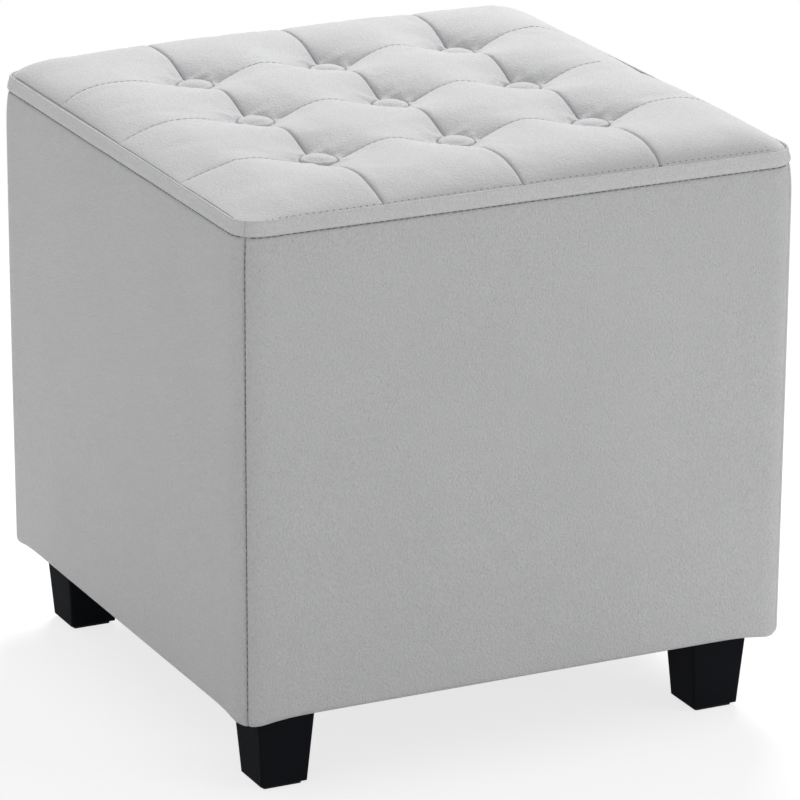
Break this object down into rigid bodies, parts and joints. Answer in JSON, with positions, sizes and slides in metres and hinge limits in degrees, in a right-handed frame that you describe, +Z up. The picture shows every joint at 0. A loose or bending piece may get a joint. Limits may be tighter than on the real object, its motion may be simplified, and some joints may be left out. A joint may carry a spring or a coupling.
{
  "type": "upholstered footstool",
  "caption": "Cube footstool in pale fabric over a wooden box, with a button-tufted padded top, a stitched band round its edge and short tapered black feet.",
  "frame": {"origin": "centre of the footprint, on the floor under the feet", "axes": "+Z up, -Y out of the front, +X to the right seen from the front"},
  "size_m": [0.4, 0.4, 0.4067],
  "materials": {
    "cover_fabric": "matte",
    "foam": "matte",
    "frame_board": "matte",
    "frame_timber": "matte",
    "dust_cloth": "matte",
    "foot_plastic": "satin",
    "pad_rubber": "matte",
    "zinc_steel": "satin",
    "twine": "matte",
    "anchor_plastic": "satin"
  },
  "bodies": {
    "root": {"side_board_front": "frame_board", "side_board_right": "frame_board", "side_board_back": "frame_board", "side_board_left": "frame_board", "base_rail_front": "frame_timber", "base_rail_right": "frame_timber", "base_rail_back": "frame_timber", "base_rail_left": "frame_timber", "side_foam_front": "foam", "side_foam_right": "foam", "side_foam_back": "foam", "side_foam_left": "foam", "side_cover_front": "cover_fabric", "side_cover_right": "cover_fabric", "side_cover_back": "cover_fabric", "side_cover_left": "cover_fabric", "top_band_front": "cover_fabric", "top_band_right": "cover_fabric", "top_band_back": "cover_fabric", "top_band_left": "cover_fabric", "corner_post_front_right": "frame_timber", "corner_post_back_right": "frame_timber", "corner_post_back_left": "frame_timber", "corner_post_front_left": "frame_timber", "foot_block_front_right": "frame_timber", "foot_block_back_right": "frame_timber", "foot_block_back_left": "frame_timber", "foot_block_front_left": "frame_timber", "foot_front_right": "foot_plastic", "foot_back_right": "foot_plastic", "foot_back_left": "foot_plastic", "foot_front_left": "foot_plastic", "foot_pad_front_right": "pad_rubber", "foot_pad_back_right": "pad_rubber", "foot_pad_back_left": "pad_rubber", "foot_pad_front_left": "pad_rubber", "seat_board": "frame_board", "seat_foam": "foam", "seat_cover": "cover_fabric", "dust_cover": "dust_cloth", "button_covers": "cover_fabric", "button_shells": "zinc_steel", "button_backs": "zinc_steel", "button_twine": "twine", "twine_anchors": "anchor_plastic", "foot_bolts": "zinc_steel", "insert_nuts": "zinc_steel", "frame_screws": "zinc_steel", "seat_board_screws": "zinc_steel", "hem_staples": "zinc_steel", "dust_staples": "zinc_steel"}
  },
  "joints": []
}
